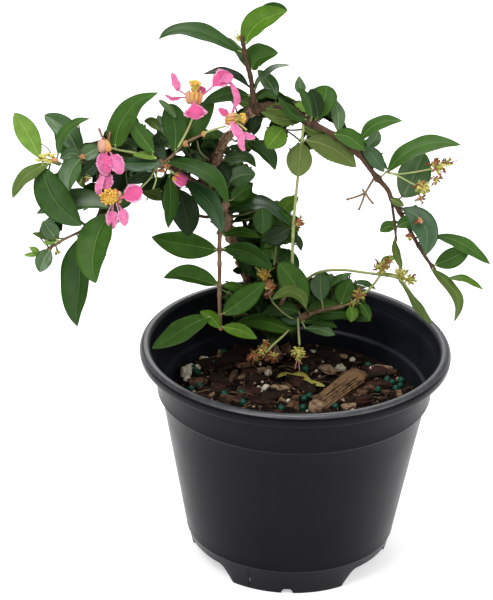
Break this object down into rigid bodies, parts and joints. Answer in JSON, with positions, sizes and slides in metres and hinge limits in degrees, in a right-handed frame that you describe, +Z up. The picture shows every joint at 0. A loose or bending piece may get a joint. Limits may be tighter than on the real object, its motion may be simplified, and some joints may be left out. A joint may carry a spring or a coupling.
{
  "type": "potted barbados cherry",
  "caption": "Small leaning Barbados cherry shrub with arching leafy boughs and pink blossom, growing in a round black plastic nursery pot.",
  "frame": {"origin": "centre of the pot's flat underside, on the surface that it stands on", "axes": "+Z up, -Y towards the viewer of the reference view, +X to that viewer's right"},
  "size_m": [0.2341, 0.155, 0.2903],
  "materials": {
    "pot_plastic": "satin",
    "potting_mix": "matte",
    "bark": "matte",
    "red_bark": "matte",
    "green_stem": "satin",
    "leaf": "satin"
  },
  "bodies": {
    "root": {"arc_stem": "green_stem", "arc_stem_end": "green_stem", "arch_falling": "red_bark", "arch_rising": "red_bark", "arch_tip": "red_bark", "arch_twig": "red_bark", "basal_stem": "bark", "bough_back": "bark", "bough_left": "bark", "bough_left_outer": "bark", "bough_upper": "bark", "hanging_twig": "red_bark", "leader": "bark", "leaves_arch_crest": "leaf", "leaves_arch_start": "leaf", "leaves_arch_under_left": "leaf", "leaves_arch_under_right": "leaf", "leaves_back_left": "leaf", "leaves_back_low": "leaf", "leaves_back_middle": "leaf", "leaves_back_right": "leaf", "leaves_centre": "leaf", "leaves_centre_low": "leaf", "leaves_centre_upper": "leaf", "leaves_hanging_low": "leaf", "leaves_hanging_middle": "leaf", "leaves_hanging_upper": "leaf", "leaves_left_arch": "leaf", "leaves_left_inner": "leaf", "leaves_left_low": "leaf", "leaves_left_low_tip": "leaf", "leaves_left_tip": "leaf", "leaves_low_right": "leaf", "leaves_node_lower": "leaf", "leaves_node_upper": "leaf", "leaves_right_low": "leaf", "leaves_right_mid": "leaf", "leaves_right_tip": "leaf", "leaves_right_upper": "leaf", "leaves_top": "leaf", "leaves_top_inner": "leaf", "leaves_top_left": "leaf", "leaves_top_right": "leaf", "low_branch": "red_bark", "pot": "pot_plastic", "soil": "potting_mix", "trunk": "bark", "twig_back_left": "bark", "twig_back_low": "bark", "twig_back_right": "bark", "twig_left_low": "green_stem", "upright_stem": "green_stem"}
  },
  "joints": []
}
